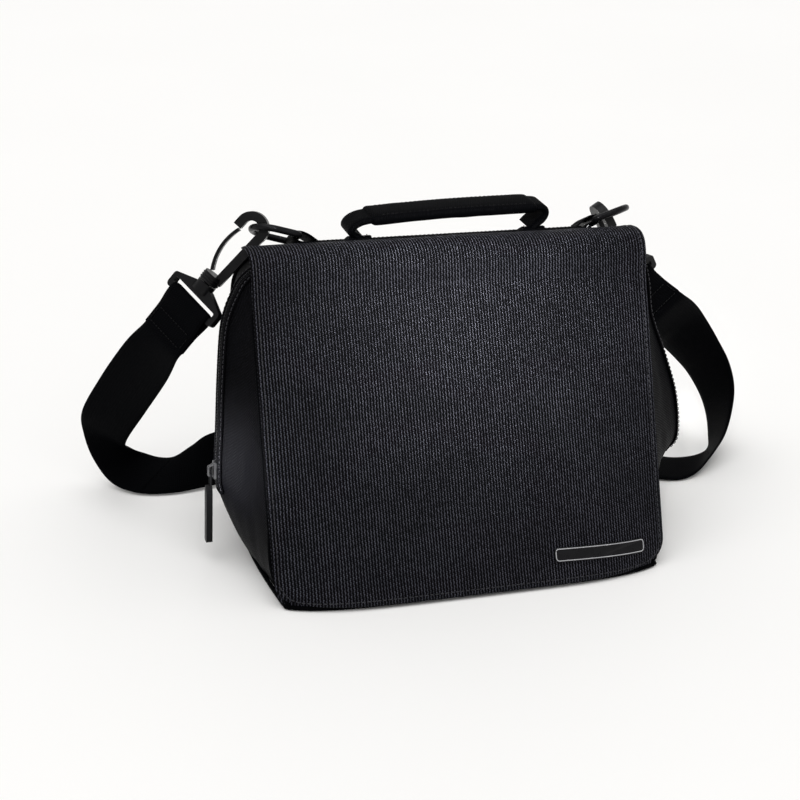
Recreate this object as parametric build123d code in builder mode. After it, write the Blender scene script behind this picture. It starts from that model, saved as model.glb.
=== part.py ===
"""Insulated lunch bag with front flap, wrap-over zip, top handle and clip-on shoulder strap.

Millimetres, +X to the right seen from the front, +Y to the back, +Z up.
The origin is the centre of the base, on the surface that the bag stands on.
"""
from build123d import *
from math import cos, radians, sin
import os

# ---------------------------------------------------------------- driving dimensions
HALF_WIDTH = 131.0            # body, without the bulge of the side gussets
WALL_HALF = 125.0             # front and back walls, between the gussets
FLAP_HALF = 132.0
FRONT_FOOT_Y = -68.4          # foot of the front wall at its ends
FRONT_LEAN = 0.42             # mm of set-back for each mm of height
BACK_FOOT_Y = 73.0
FRONT_BULGE = 13.0            # belly of the front at its foot
BACK_BULGE = 5.0
BULGE_TOP = 190.0             # height at which the belly has died out
ZIP_FOOT_Z = 46.0             # lowest point of the zip, where its plane crosses y = 0
ZIP_LEAN = 0.135
ZIP_TOP_Z = 198.6
TOP_CUT = 306.0               # the top corners slope where |x| + z reaches this

FABRIC = (0.0, 1.0)           # each wall is three layers, as depths below the outer face
FOAM = (1.1, 4.9)
LINING = (5.0, 5.6)

TAPE_HALF = 8.0               # zip tape, each side of the middle of the zip
COIL_HALF = 1.6
COIL_RADIUS = 1.2
SLIDER_Z = 63.0

WEBBING = 38.0                # shoulder strap
WEBBING_THICK = 1.6
TAB_WIDTH = 21.6              # webbing of the ring tabs
TAB_Y = 47.0
RING_ROD = 4.4
RING_HALF = 14.0
RING_REACH = 28.0
RING_BAR_Z = 199.0
LEFT_BAR_X = -94.0
RIGHT_BAR_X = 108.0

HANDLE_FRONT_Y = 38.0
HANDLE_BACK_Y = 62.0
HANDLE_LEFT_X = -53.0
HANDLE_RIGHT_X = 66.0
HANDLE_FOOT_Z = 201.4

FRONT_HEIGHTS = [0, 20, 50, 80, 110, 140, 165]
FRONT_SHOULDER = [(6.5, 180), (9.3, 189), (11.2, 196.4)]
BACK_PROFILE = [
    (73, 0.3), (72.5, 40), (70.5, 80), (67, 120), (62, 160), (57, 180), (50, 190.5), (40, 197), (30, 199.6),
]
FLAP_ROUND = [(29, 203.6), (20, 204.4), (13.5, 203.2), (8, 198.8), (4.2, 190), (1.4, 178)]
FLAP_HEIGHTS = [160, 142, 112, 82, 52, 22, 2]
FLAP_OFFSET = 4.6             # outer face of the flap ahead of the front wall, along Y

# crest of each gusset: height and how far it stands out from the body's side
LEFT_CREST = [(0, 1), (20, 10), (46, 20), (60, 21.6), (150, 18), (165, 15.3), (180, 10), (196, 1)]
RIGHT_CREST = [
    (0, 1), (20, 16), (46, 28), (60, 36), (80, 35), (112, 24.6), (136, 11.6), (165, 7), (180, 4), (196, 1),
]

# shoulder strap from the left hook to the right one: middle of the webbing, and the way across it
STRAP_ROUTE = [
    ((-188, 67, 111), (0.70, -0.40, -0.59)),
    ((-199, 86, 82), (0.74, -0.32, -0.59)),
    ((-209.5, 104, 51.5), (0.74, -0.15, -0.66)),
    ((-205, 116, 34), (0.90, 0.05, -0.43)),
    ((-197, 119, 20), (0.97, 0.20, -0.05)),
    ((-187, 114, 11), (0.90, 0.32, 0.30)),
    ((-174, 106.5, 10), (0.76, 0.48, 0.43)),
    ((-157, 104, 13.6), (0.50, 0.58, 0.64)),
    ((-136, 105, 18.6), (0.18, 0.45, 0.87)),
    ((-96, 111, 20.4), (0.0, 0.34, 0.94)),
    ((-50, 115, 23.2), (0.0, 0.30, 0.954)),
    ((50, 115, 23.2), (0.0, 0.30, 0.954)),
    ((85, 108.5, 20.2), (0.05, 0.38, 0.92)),
    ((110, 99.5, 18.0), (0.14, 0.48, 0.86)),
    ((130, 91.5, 15.4), (0.26, 0.62, 0.74)),
    ((147, 83, 11.2), (0.36, 0.78, 0.51)),
    ((163, 74, 6.0), (0.41, 0.88, 0.25)),
    ((179, 65, 2.4), (0.42, 0.90, 0.06)),
    ((194, 57.5, 1.3), (0.43, 0.90, 0.0)),
    ((207, 55, 1.3), (0.47, 0.88, 0.0)),
    ((221, 58, 2.9), (0.48, 0.87, -0.08)),
    ((234, 66, 8.0), (0.35, 0.87, -0.34)),
    ((243, 76, 15), (0.13, 0.88, -0.46)),
    ((248.5, 86.5, 28.5), (-0.07, 0.86, -0.51)),
    ((249, 95, 43), (-0.28, 0.80, -0.53)),
    ((241, 98.5, 61), (-0.47, 0.71, -0.52)),
    ((227, 96, 79), (-0.56, 0.55, -0.62)),
    ((210, 89, 94), (-0.66, 0.30, -0.69)),
    ((190, 73, 105.5), (-0.74, -0.02, -0.67)),
]

os.makedirs("parts", exist_ok=True)


def save(builder, name):
    builder.part.label = name
    export_step(builder.part, "parts/" + name + ".step")


# ---------------------------------------------------------------- outlines
def shifted(points, distance):
    """The polyline moved sideways, to its left for a positive distance, with mitred corners."""
    line = [Vector(*p) for p in points]
    normals = []
    for start, end in zip(line, line[1:]):
        along = (end - start).normalized()
        normals.append(Vector(-along.Y, along.X))
    moved = []
    for i, point in enumerate(line):
        before = normals[max(i - 1, 0)]
        after = normals[min(i, len(normals) - 1)]
        mitre = before + after
        mitre = mitre * (2 / mitre.length**2)
        spot = point + mitre * distance
        moved.append((spot.X, spot.Y))
    return moved


def strip(points, near, far):
    """Closed outline between two shifted copies of one line."""
    return shifted(points, near) + shifted(points, far)[::-1]


def belly(x, z, depth):
    """How far a wall stands out at x and height z."""
    return depth * (1 - min(abs(x) / HALF_WIDTH, 1) ** 6) * max(0, 1 - z / BULGE_TOP)


def front_y(z):
    return FRONT_FOOT_Y + FRONT_LEAN * z


def zip_y(z):
    return ZIP_LEAN * (z - ZIP_FOOT_Z)


def between(table, z):
    """Linear reading of a (height, value) table."""
    for (low, a), (high, b) in zip(table, table[1:]):
        if low <= z <= high:
            return a + (b - a) * (z - low) / (high - low)
    return table[-1][1]


def front_profile(x):
    face = [(front_y(z) - belly(x, z, FRONT_BULGE), z) for z in FRONT_HEIGHTS]
    return face + FRONT_SHOULDER


def back_profile(x):
    return [(y + belly(x, z, BACK_BULGE), z) for y, z in BACK_PROFILE]


def flap_profile(x, heights=FLAP_HEIGHTS, crown=FLAP_ROUND):
    face = [(front_y(z) - FLAP_OFFSET - belly(x, z, FRONT_BULGE), z) for z in heights]
    return crown + face


def stations(half):
    side = [half * f for f in (0.4, 0.66, 0.82, 0.93, 1.0)]
    return [-x for x in side[::-1]] + [0] + side


def set_back(points, near, far):
    """Closed outline between two copies of one line, both moved along Y."""
    thicken = 1.1
    front = [(y + near * thicken, z) for y, z in points]
    return front + [(y + far * thicken, z) for y, z in points[::-1]]


def panel(profile, at, near, far, outline=strip):
    """A bellied sheet: the strip under a profile, lofted from station to station along X."""
    with BuildPart() as sheet:
        for pair in zip(at, at[1:]):
            for x in pair:
                with BuildSketch(Plane.YZ.offset(x)):
                    Polygon(*outline(profile(x), near, far), align=None)
            loft(ruled=True)
    return sheet


# ---------------------------------------------------------------- front, back and base
def without_top_corners(sheet):
    with BuildPart() as trimmed:
        add(sheet)
        for side in (-1, 1):
            with BuildSketch(Plane.XZ):
                Polygon(
                    (side * (TOP_CUT - 170), 170), (side * 150, 170), (side * 150, 215),
                    (side * (TOP_CUT - 215), 215), align=None,
                )
            extrude(amount=120, both=True, mode=Mode.SUBTRACT)
    return trimmed


for name, layer in (("panel", FABRIC), ("insulation", FOAM), ("lining", LINING)):
    front = panel(front_profile, stations(WALL_HALF), layer[0], layer[1], set_back)
    back = panel(back_profile, stations(WALL_HALF), layer[0], layer[1])
    save(without_top_corners(front.part), "front_" + name)
    save(without_top_corners(back.part), "back_" + name)

BASE_LAYERS = {
    "base_panel": (0.0, 1.2),
    "base_board": (1.3, 3.3),
    "base_insulation": (3.4, 7.4),
    "base_lining": (7.5, 8.1),
}
BASE_FRONT_Y = -57.6
BASE_BACK_Y = 66.8
for name, (low, high) in BASE_LAYERS.items():
    front_edge = [(x, BASE_FRONT_Y - belly(x, 8, FRONT_BULGE) + 0.3) for x in stations(WALL_HALF)]
    with BuildPart() as layer:
        with BuildSketch(Plane.XY.offset(low)):
            Polygon(*front_edge, (WALL_HALF, BASE_BACK_Y), (-WALL_HALF, BASE_BACK_Y), align=None)
        extrude(amount=high - low)
    save(layer, name)


# ---------------------------------------------------------------- side gussets, each a front and a back half
MEET_Z = 44.0                 # below this the halves meet; above it the zip tape parts them
HALF_GAP = 8.4
SLACK = 5.0                   # the back halves are slack and fall in by this much


BACK_EDGE = [(z, y) for y, z in BACK_PROFILE]


def gusset_section(side, crest, z, layer, back):
    """Plan of one layer of a gusset half at height z: seam with the wall, slack middle, crest."""
    edge_y = between(BACK_EDGE, z) - 0.8 if back else front_y(z) + 0.8
    gap = HALF_GAP if z > MEET_Z else 0.1
    crest_y = zip_y(z) + (gap if back else -gap)
    rise = between(crest, z) - 1
    slack = SLACK * min(1, rise / 12) if back else 0
    middle_y = crest_y + (edge_y - crest_y) * 0.45
    outline = []
    for depth, order in ((layer[0], 1), (layer[1], -1)):
        face = [
            (side * (HALF_WIDTH - depth), edge_y),
            (side * (HALF_WIDTH + rise * 0.55 - slack - depth), middle_y),
            (side * (HALF_WIDTH + rise - depth), crest_y),
        ]
        outline += face[::order]
    return outline


def gusset_half(side, crest, layer, back):
    heights = [0.3, 20, 43.9, 46, 60, 80, 112, 136, 150, 165, 174]
    with BuildPart() as half:
        for pair in zip(heights, heights[1:]):
            for z in pair:
                with BuildSketch(Plane.XY.offset(z)):
                    Polygon(*gusset_section(side, crest, z, layer, back), align=None)
            loft(ruled=True)
    return half.part


def sloped_corner(side, layer):
    """One layer of the slope between the gusset and the top, behind the zip."""
    low = TOP_CUT - HALF_WIDTH
    line = [(side * HALF_WIDTH, low), (side * (TOP_CUT - 199), 199)]
    inside = [(y, z) for y, z in shifted(BACK_PROFILE, 6.0) if z > 175]
    inside = [(inside[0][0] + 0.6, 174.2)] + inside
    with BuildPart() as corner:
        with BuildSketch(Plane.XZ.offset(-30.5)):
            Polygon(*strip(line, side * layer[0], side * layer[1]), align=None)
        extrude(amount=-30)
        with BuildSketch(Plane.YZ):
            Polygon((30, 174.2), *inside, align=None)
        extrude(amount=140, both=True, mode=Mode.INTERSECT)
    return corner.part


for side, crest, hand in ((-1, LEFT_CREST, "left"), (1, RIGHT_CREST, "right")):
    for name, layer in (("gusset_", FABRIC), ("gusset_insulation_", FOAM), ("gusset_lining_", LINING)):
        with BuildPart() as gusset:
            add(gusset_half(side, crest, layer, back=False))
            add(gusset_half(side, crest, layer, back=True))
            add(sloped_corner(side, layer))
        save(gusset, name + hand)


# ---------------------------------------------------------------- zip, laid out in its own leaning plane
ZIP_SCALE = (1 + ZIP_LEAN**2) ** 0.5
ZIP_PLANE = Plane(origin=(0, 0, ZIP_FOOT_Z), x_dir=(1, 0, 0), z_dir=(0, -1, ZIP_LEAN))


def on_zip(x, z):
    return (x, (z - ZIP_FOOT_Z) * ZIP_SCALE)


def crest_x(crest, z):
    return HALF_WIDTH + between(crest, z)


ZIP_PATH = [on_zip(-crest_x(LEFT_CREST, z), z) for z in (50, 60, 150, 165, 178)]
ZIP_PATH += [on_zip(-137, 184.5), on_zip(-127, 190.8), on_zip(-114, 196), on_zip(-101, ZIP_TOP_Z)]
ZIP_PATH += [on_zip(101, ZIP_TOP_Z), on_zip(112, 196.4), on_zip(123, 192), on_zip(131, 185.5)]
ZIP_PATH += [on_zip(crest_x(RIGHT_CREST, z), z) for z in (178, 165, 136, 112, 80, 60, 50)]


def zip_band(half_thickness, near, far):
    """A band that follows the zip, from one distance to another off its middle plane."""
    with BuildPart() as band:
        with BuildSketch(ZIP_PLANE.offset(near)):
            Polygon(*strip(ZIP_PATH, half_thickness, -half_thickness), align=None)
        extrude(amount=far - near)
    return band


save(zip_band(0.5, COIL_HALF + 0.1, TAPE_HALF), "zipper_tape_front")
save(zip_band(0.5, -TAPE_HALF, -COIL_HALF - 0.1), "zipper_tape_back")
save(zip_band(COIL_RADIUS, 0.05, COIL_HALF), "zipper_coil_front")
save(zip_band(COIL_RADIUS, -COIL_HALF, -0.05), "zipper_coil_back")

with BuildPart() as zip_stops:
    for side, crest in ((-1, LEFT_CREST), (1, RIGHT_CREST)):
        x, s = on_zip(side * crest_x(crest, 48), 48)
        with BuildSketch(ZIP_PLANE.offset(-TAPE_HALF)):
            with Locations((x, s - 0.6)):
                Rectangle(2.4, 3.6)
        extrude(amount=2 * TAPE_HALF)
save(zip_stops, "zipper_stops")

# slider: a channel over the coil, with a bail for the pull
slider_x = -crest_x(LEFT_CREST, SLIDER_Z)
track = Vector(3.6 / 90, ZIP_LEAN, 1)
outward = ZIP_PLANE.z_dir.cross(track)
SLIDER_PLANE = Plane(origin=(slider_x, zip_y(SLIDER_Z), SLIDER_Z), x_dir=(0, 1, -ZIP_LEAN), z_dir=outward)
with BuildPart() as slider:
    with BuildSketch(SLIDER_PLANE.offset(1.5)):
        Trapezoid(8.6, 11, 84, rotation=180)
        fillet(vertices(), 1.2)
    extrude(amount=1.3)
    for across in (-2.75, 2.75):
        with BuildSketch(SLIDER_PLANE.offset(0.75)):
            with Locations((across, 0)):
                Rectangle(1.3, 9)
        extrude(amount=1.0)
    with BuildSketch(Plane(origin=SLIDER_PLANE.origin, x_dir=(0, 0, 1), z_dir=(0, 1, 0))):
        with BuildLine():
            bail = Polyline((-4.2, -2.6), (-3.4, -6.0), (2.6, -6.0), (4.2, -2.6))
            offset(bail, amount=0.5, side=Side.BOTH)
        make_face()
    extrude(amount=1.0, both=True)
save(slider, "zipper_slider")

# pull: a wire link through the bail, and a moulded tab that hangs from it
PULL_X = slider_x - 4.6
PULL_Y = zip_y(SLIDER_Z)
PULL_TOP_Z = SLIDER_Z + 0.1
TAB_TOP_Z = 50.0
TAB_FOOT_Z = 12.0
PULL_PLANE = Plane(origin=(PULL_X, PULL_Y, 0), x_dir=(0, 1, 0), z_dir=(1, 0, 0))
with BuildPart() as pull:
    with BuildSketch(PULL_PLANE):
        with Locations((0, (PULL_TOP_Z + TAB_TOP_Z) / 2)):
            RectangleRounded(5.4, PULL_TOP_Z - TAB_TOP_Z + 3.0, 1.6)
            RectangleRounded(3.4, PULL_TOP_Z - TAB_TOP_Z + 0.6, 0.8, mode=Mode.SUBTRACT)
    extrude(amount=0.5, both=True)
    with BuildSketch(PULL_PLANE.offset(-3.1)):
        Polygon(
            (-1.6, TAB_TOP_Z + 2), (1.6, TAB_TOP_Z + 2), (3, TAB_TOP_Z - 2.5), (3, TAB_FOOT_Z + 1), (2, TAB_FOOT_Z),
            (-2, TAB_FOOT_Z), (-3, TAB_FOOT_Z + 1), (-3, TAB_TOP_Z - 2.5), align=None,
        )
    extrude(amount=4.0)
save(pull, "zipper_pull")


# ---------------------------------------------------------------- flap
save(panel(flap_profile, stations(FLAP_HALF), 0.0, 1.1), "flap_panel")
save(panel(flap_profile, stations(FLAP_HALF), 1.2, 1.8), "flap_lining")

with BuildPart() as flap_seam:
    with BuildSketch(Plane.YZ.offset(-FLAP_HALF + 32)):
        Polygon((31.2, 199.8), (35.2, 198.8), (35.2, 200.2), (31.2, 201.2), align=None)
    extrude(amount=2 * FLAP_HALF - 64)
save(flap_seam, "flap_seam_strip")

PATCH_HEIGHTS = [54, 34]
PATCH_STATIONS = [-26, 0, 26]


def patch_on_flap(x):
    return flap_profile(x, PATCH_HEIGHTS, [])


save(panel(patch_on_flap, PATCH_STATIONS, 1.85, 2.65), "closure_hook_patch")
save(panel(patch_on_flap, PATCH_STATIONS, 3.05, 3.85), "closure_loop_patch")

LABEL_HEIGHTS = [24.5, 15.5]


def label_on_flap(x):
    return flap_profile(x, LABEL_HEIGHTS, [])


save(panel(label_on_flap, [57, 0.66 * FLAP_HALF, 0.82 * FLAP_HALF, 117], -1.0, -0.15), "flap_label")


# ---------------------------------------------------------------- ring webbing and rings
WEB_PROFILE = [(57.5, 179), (50, 190.5), (40.3, 196.8)]
with BuildPart() as ring_webbing:
    with BuildSketch(Plane.YZ.offset(LEFT_BAR_X + 10)):
        Polygon(*strip(WEB_PROFILE, -2.2, -0.7), align=None)
    extrude(amount=RIGHT_BAR_X - LEFT_BAR_X - 20)
save(ring_webbing, "ring_webbing")

BAR_DIR = Vector(0, 0.88, -0.47).normalized()


def ring_reach(side):
    return Vector(side * 0.96, 0.133, 0.25).normalized()


def ring_plane(side):
    """Local X along the ring's bar, local Y towards the tip of the ring."""
    bar_x = LEFT_BAR_X if side < 0 else RIGHT_BAR_X
    normal = BAR_DIR.cross(ring_reach(side))
    return Plane(origin=(bar_x, TAB_Y, RING_BAR_Z), x_dir=BAR_DIR, z_dir=normal)


ARC_Y = RING_REACH - RING_HALF
CORNER = 3.0
DIAGONAL = CORNER * (1 - 0.5**0.5)
for side, hand in ((-1, "left"), (1, "right")):
    plane = ring_plane(side)
    with BuildPart() as ring:
        with BuildLine(plane):
            Line((-RING_HALF + CORNER, 0), (RING_HALF - CORNER, 0))
            ThreePointArc((RING_HALF - CORNER, 0), (RING_HALF - DIAGONAL, DIAGONAL), (RING_HALF, CORNER))
            Line((RING_HALF, CORNER), (RING_HALF, ARC_Y))
            ThreePointArc((RING_HALF, ARC_Y), (0, RING_REACH), (-RING_HALF, ARC_Y))
            Line((-RING_HALF, ARC_Y), (-RING_HALF, CORNER))
            ThreePointArc((-RING_HALF, CORNER), (-RING_HALF + DIAGONAL, DIAGONAL), (-RING_HALF + CORNER, 0))
        start = plane.origin - BAR_DIR * (RING_HALF - CORNER)
        with BuildSketch(Plane(origin=start, x_dir=ring_reach(side), z_dir=BAR_DIR)):
            Circle(RING_ROD / 2)
        sweep()
    save(ring, "d_ring_" + hand)
    # the tab: webbing folded round the bar
    fold_plane = Plane(origin=plane.origin - BAR_DIR * TAB_WIDTH / 2, x_dir=ring_reach(side), z_dir=BAR_DIR)
    with BuildPart() as tab:
        with BuildSketch(fold_plane):
            with Locations((-1.2, 0)):
                SlotOverall(10.4, 7.8)
                SlotOverall(8.0, 5.4, mode=Mode.SUBTRACT)
        extrude(amount=TAB_WIDTH)
    save(tab, "ring_tab_" + hand)


# ---------------------------------------------------------------- handle
with BuildPart() as handle_anchors:
    for x in (HANDLE_LEFT_X, HANDLE_RIGHT_X):
        with BuildSketch(Plane.YZ.offset(x - 7)):
            Polygon((41, 200.0), (52.3, 192.8), (59.6, 183.0), (61.5, 184.0), (61.5, 200.2), align=None)
        extrude(amount=14)
save(handle_anchors, "handle_anchors")

GRIP_LEFT = (-45.0, 209.9)
GRIP_RIGHT = (65.0, 212.8)
HANDLE_LINE = [(HANDLE_LEFT_X, HANDLE_FOOT_Z), (-57.6, 202.0), (-60.4, 205.2), (-58.2, 208.9), GRIP_LEFT]
HANDLE_LINE += [GRIP_RIGHT, (72.4, 212.4), (75.4, 208.4), (72.4, 203.6), (HANDLE_RIGHT_X, HANDLE_FOOT_Z)]
with BuildPart() as handle_webbing:
    with BuildSketch(Plane(origin=(0, HANDLE_BACK_Y, 0), x_dir=(1, 0, 0), z_dir=(0, -1, 0))):
        Polygon(*strip(HANDLE_LINE, 1.2, -1.2), align=None)
    extrude(amount=HANDLE_BACK_Y - HANDLE_FRONT_Y)
save(handle_webbing, "handle_webbing")

handle_middle_y = (HANDLE_FRONT_Y + HANDLE_BACK_Y) / 2
grip_run = Vector(GRIP_RIGHT[0] - GRIP_LEFT[0], 0, GRIP_RIGHT[1] - GRIP_LEFT[1])
GRIP_PLANE = Plane(origin=(GRIP_LEFT[0], handle_middle_y, GRIP_LEFT[1]), x_dir=(0, 1, 0), z_dir=grip_run)
with BuildPart() as handle_grip:
    with BuildSketch(GRIP_PLANE):
        RectangleRounded(27, 5.8, 1.6)
        RectangleRounded(24.4, 2.8, 0.2, mode=Mode.SUBTRACT)
    extrude(amount=grip_run.length)
save(handle_grip, "handle_grip")


# ---------------------------------------------------------------- snap hooks
# Each hook has its own plane: local X across it, local Y from the swivel to the head.
HEAD_Y = 45.0                 # centre of the hook's bend above the swivel
HEAD_RADIUS = 7.75
HOOK_BAR = 5.8
HOOK_THICK = 6.0
COLLAR_RADIUS = 6.5
BASE_WIDTH = 47.0
SLOT_WIDTH = 40.0
BAR_BELOW = 17.4              # from the swivel down to the bar the strap folds round
RIGHT_BEND = 25.0             # lean of the right strap end off its base
GATE_ROOT = (-2.8, 8.2)
GATE_TIP = (-5.8, 39.2)

LEFT_AXIS = Vector(-0.62, 0.03, -0.785).normalized()
LEFT_ACROSS = Vector(0.43, -0.83, -0.37)
LEFT_HOOK_ACROSS = Vector(0.68, -0.49, -0.55)
RIGHT_AXIS = Vector(0.50, 0.13, -0.857).normalized()
RIGHT_ACROSS = Vector(-0.80, -0.30, -0.51)

LEFT_HEAD = ring_plane(-1).origin + ring_reach(-1) * RING_REACH
RIGHT_HEAD = ring_plane(1).origin + BAR_DIR * 13.5 + ring_reach(1) * 17.6


def square_to(vector, axis):
    return (vector - axis * vector.dot(axis)).normalized()


def hook_planes(head, axis, across, head_across):
    """Planes of the strap base and of the hook, which swivel on one axis."""
    origin = head + axis * HEAD_Y
    base_x = square_to(across, axis)
    hook_x = square_to(head_across, axis)
    up = axis * -1
    base = Plane(origin=origin, x_dir=base_x, z_dir=base_x.cross(up))
    hook = Plane(origin=origin, x_dir=hook_x, z_dir=hook_x.cross(up))
    return base, hook


def on_axis(plane, height):
    """Plane across the hook's axis at a height of its plane."""
    foot = plane.origin + plane.y_dir * height
    return Plane(origin=foot, x_dir=plane.x_dir, z_dir=plane.y_dir)


def make_hook(plane, hand):
    with BuildPart() as hook:
        with BuildSketch(plane.offset(-HOOK_THICK / 2)):
            with BuildLine():
                spine = Line((4.8, 3), (7.6, HEAD_Y - 3))
                bend = ThreePointArc((7.6, HEAD_Y - 3), (0, HEAD_Y + HEAD_RADIUS), (-HEAD_RADIUS, HEAD_Y))
                nose = Line((-HEAD_RADIUS, HEAD_Y), (-HEAD_RADIUS - 0.2, HEAD_Y - 4.6))
            trace(line_width=HOOK_BAR)
        extrude(amount=HOOK_THICK)
        with BuildSketch(on_axis(plane, 0.4)):
            Circle(COLLAR_RADIUS)
        extrude(amount=6.2)
        with BuildSketch(on_axis(plane, -6.0)):
            Circle(2.0)
        extrude(amount=7.0)
    save(hook, "hook_body_" + hand)

    with BuildPart() as gate:
        with BuildSketch(plane.offset(-2.4)):
            with BuildLine():
                ThreePointArc(GATE_ROOT, (-7.6, 23), GATE_TIP)
            trace(line_width=2.2)
        extrude(amount=4.8)
    save(gate, "hook_gate_" + hand)


def fold_up(plane, bend):
    """Direction up the sewn strap end, which leans bend degrees off the base, about its outer bar."""
    return plane.y_dir * cos(radians(bend)) + plane.z_dir * sin(radians(bend))


def make_strap_base(plane, hand, bend, depth):
    with BuildPart() as base:
        with BuildSketch(plane.offset(-2.4)):
            with BuildLine():
                FilletPolyline(
                    (-7, -3), (7, -3), (BASE_WIDTH / 2, -9), (BASE_WIDTH / 2, -19.4), (-BASE_WIDTH / 2, -19.4),
                    (-BASE_WIDTH / 2, -9), radius=2.6, close=True,
                )
            make_face()
            with Locations((0, -13.2)):
                RectangleRounded(SLOT_WIDTH, 4.4, 1.2, mode=Mode.SUBTRACT)
        extrude(amount=4.8)
        with BuildSketch(on_axis(plane, -7.6)):
            Circle(COLLAR_RADIUS)
        extrude(amount=7.2)
        with BuildSketch(on_axis(plane, -6.8)):
            Circle(2.4)
        extrude(amount=8, mode=Mode.SUBTRACT)
    save(base, "strap_base_" + hand)

    # the sewn end of the strap, a fold round the outer bar
    corner = plane.origin - plane.y_dir * BAR_BELOW - plane.x_dir * WEBBING / 2
    fold_plane = Plane(origin=corner, x_dir=fold_up(plane, bend), z_dir=plane.x_dir)
    with BuildPart() as strap_end:
        with BuildSketch(fold_plane):
            with Locations((BAR_BELOW - 28.4, 0)):
                RectangleRounded(31.0, depth, 1.6)
                RectangleRounded(28.2, depth - 2.8, 0.3, mode=Mode.SUBTRACT)
        extrude(amount=WEBBING)
    save(strap_end, "strap_end_" + hand)


left_base, left_hook = hook_planes(LEFT_HEAD, LEFT_AXIS, LEFT_ACROSS, LEFT_HOOK_ACROSS)
right_turn = ring_reach(1).cross(RIGHT_AXIS)
right_base, right_hook = hook_planes(RIGHT_HEAD, RIGHT_AXIS, RIGHT_ACROSS, right_turn)
make_hook(left_hook, "left")
make_hook(right_hook, "right")
make_strap_base(left_base, "left", 0, 8.4)
make_strap_base(right_base, "right", RIGHT_BEND, 9.4)


# ---------------------------------------------------------------- shoulder strap
STRAP_START = 50.5            # where the running strap begins, below the swivel
strap_line = [(left_base.origin - left_base.y_dir * STRAP_START, left_base.x_dir)]
strap_line += [(Vector(*spot), Vector(*across).normalized()) for spot, across in STRAP_ROUTE]
right_bar = right_base.origin - right_base.y_dir * BAR_BELOW
right_start = right_bar - fold_up(right_base, RIGHT_BEND) * (STRAP_START - BAR_BELOW)
strap_line += [(right_start, right_base.x_dir)]

with BuildPart() as strap:
    for i, (spot, across) in enumerate(strap_line):
        before = strap_line[max(i - 1, 0)][0]
        after = strap_line[min(i + 1, len(strap_line) - 1)][0]
        along = square_to(after - before, across)
        with BuildSketch(Plane(origin=spot, x_dir=across, z_dir=along)):
            Rectangle(WEBBING, WEBBING_THICK)
    loft(ruled=True)
save(strap, "strap_webbing")

# three-bar adjuster: outer bars on one face of the strap, middle bar on the other
ADJUSTER_PLANE = Plane(origin=(0, 115, 23.2), x_dir=(1, 0, 0), z_dir=(0, -0.954, 0.30))
with BuildPart() as adjuster:
    for across in (-21.4, 21.4):
        with BuildSketch(ADJUSTER_PLANE.offset(-3.2)):
            with Locations((0, across)):
                RectangleRounded(30, 3.2, 1.4)
        extrude(amount=6.4)
    for along in (-12.5, 12.5):
        with BuildSketch(ADJUSTER_PLANE.offset(1.2)):
            with Locations((along, 0)):
                Rectangle(4.4, 42)
        extrude(amount=2.0)
    with BuildSketch(ADJUSTER_PLANE.offset(-3.2)):
        Rectangle(5, 42)
    extrude(amount=2.0)
save(adjuster, "strap_adjuster")
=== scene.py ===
"""Insulated lunch bag, built as detailed pieces round the CAD frame.

Lengths are in millimetres until a mesh is made. +X right, +Y back, +Z up, origin at the centre of the base.
"""
import math

import bmesh
import bpy
import numpy as np
from mathutils import Matrix, Vector, noise


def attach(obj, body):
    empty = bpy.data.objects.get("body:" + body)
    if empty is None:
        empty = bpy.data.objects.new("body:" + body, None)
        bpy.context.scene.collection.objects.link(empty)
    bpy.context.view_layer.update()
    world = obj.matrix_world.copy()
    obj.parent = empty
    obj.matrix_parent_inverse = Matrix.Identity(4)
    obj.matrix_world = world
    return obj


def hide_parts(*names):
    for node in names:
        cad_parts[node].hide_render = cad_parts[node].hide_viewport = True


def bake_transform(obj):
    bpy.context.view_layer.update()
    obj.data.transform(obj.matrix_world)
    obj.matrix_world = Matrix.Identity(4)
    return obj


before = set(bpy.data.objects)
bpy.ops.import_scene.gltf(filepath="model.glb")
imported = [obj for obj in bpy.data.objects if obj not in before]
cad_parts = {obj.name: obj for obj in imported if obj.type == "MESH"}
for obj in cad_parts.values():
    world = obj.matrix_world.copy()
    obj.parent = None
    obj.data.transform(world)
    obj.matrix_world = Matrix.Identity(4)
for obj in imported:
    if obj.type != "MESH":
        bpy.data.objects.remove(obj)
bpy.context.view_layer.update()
MM = 0.001


# ================================================================ small geometry tools
def vec(*xyz):
    return np.array(xyz, float)


def unit(v):
    v = np.asarray(v, float)
    return v / np.maximum(np.linalg.norm(v, axis=-1, keepdims=True), 1e-9)


def smooth(points, count):
    """count points, evenly spaced by their first three numbers, on a smooth line through the given ones."""
    p = np.asarray(points, float)
    ends = np.vstack([2 * p[0] - p[1], p, 2 * p[-1] - p[-2]])
    dense = []
    for i in range(len(p) - 1):
        a, b, c, d = ends[i:i + 4]
        for t in np.linspace(0, 1, 20, endpoint=False):
            dense.append(0.5 * (2 * b + (c - a) * t + (2 * a - 5 * b + 4 * c - d) * t**2
                                + (3 * b - a - 3 * c + d) * t**3))
    dense = np.array(dense + [p[-1]])
    run = arc_length(dense[:, :3])
    at = np.linspace(0, run[-1], count)
    return np.stack([np.interp(at, run, dense[:, k]) for k in range(p.shape[1])], axis=1)


def arc_length(line):
    return np.concatenate([[0], np.cumsum(np.linalg.norm(np.diff(line, axis=0), axis=1))])


def ripple(points, scale, seed):
    """Smooth noise in -1..1 for each point, with features about scale mm across."""
    flat = np.asarray(points, float).reshape(-1, 3)
    values = [noise.noise(Vector(p / scale) + Vector((seed, 0, 0))) for p in flat]
    return np.array(values).reshape(np.asarray(points).shape[:-1])


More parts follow.
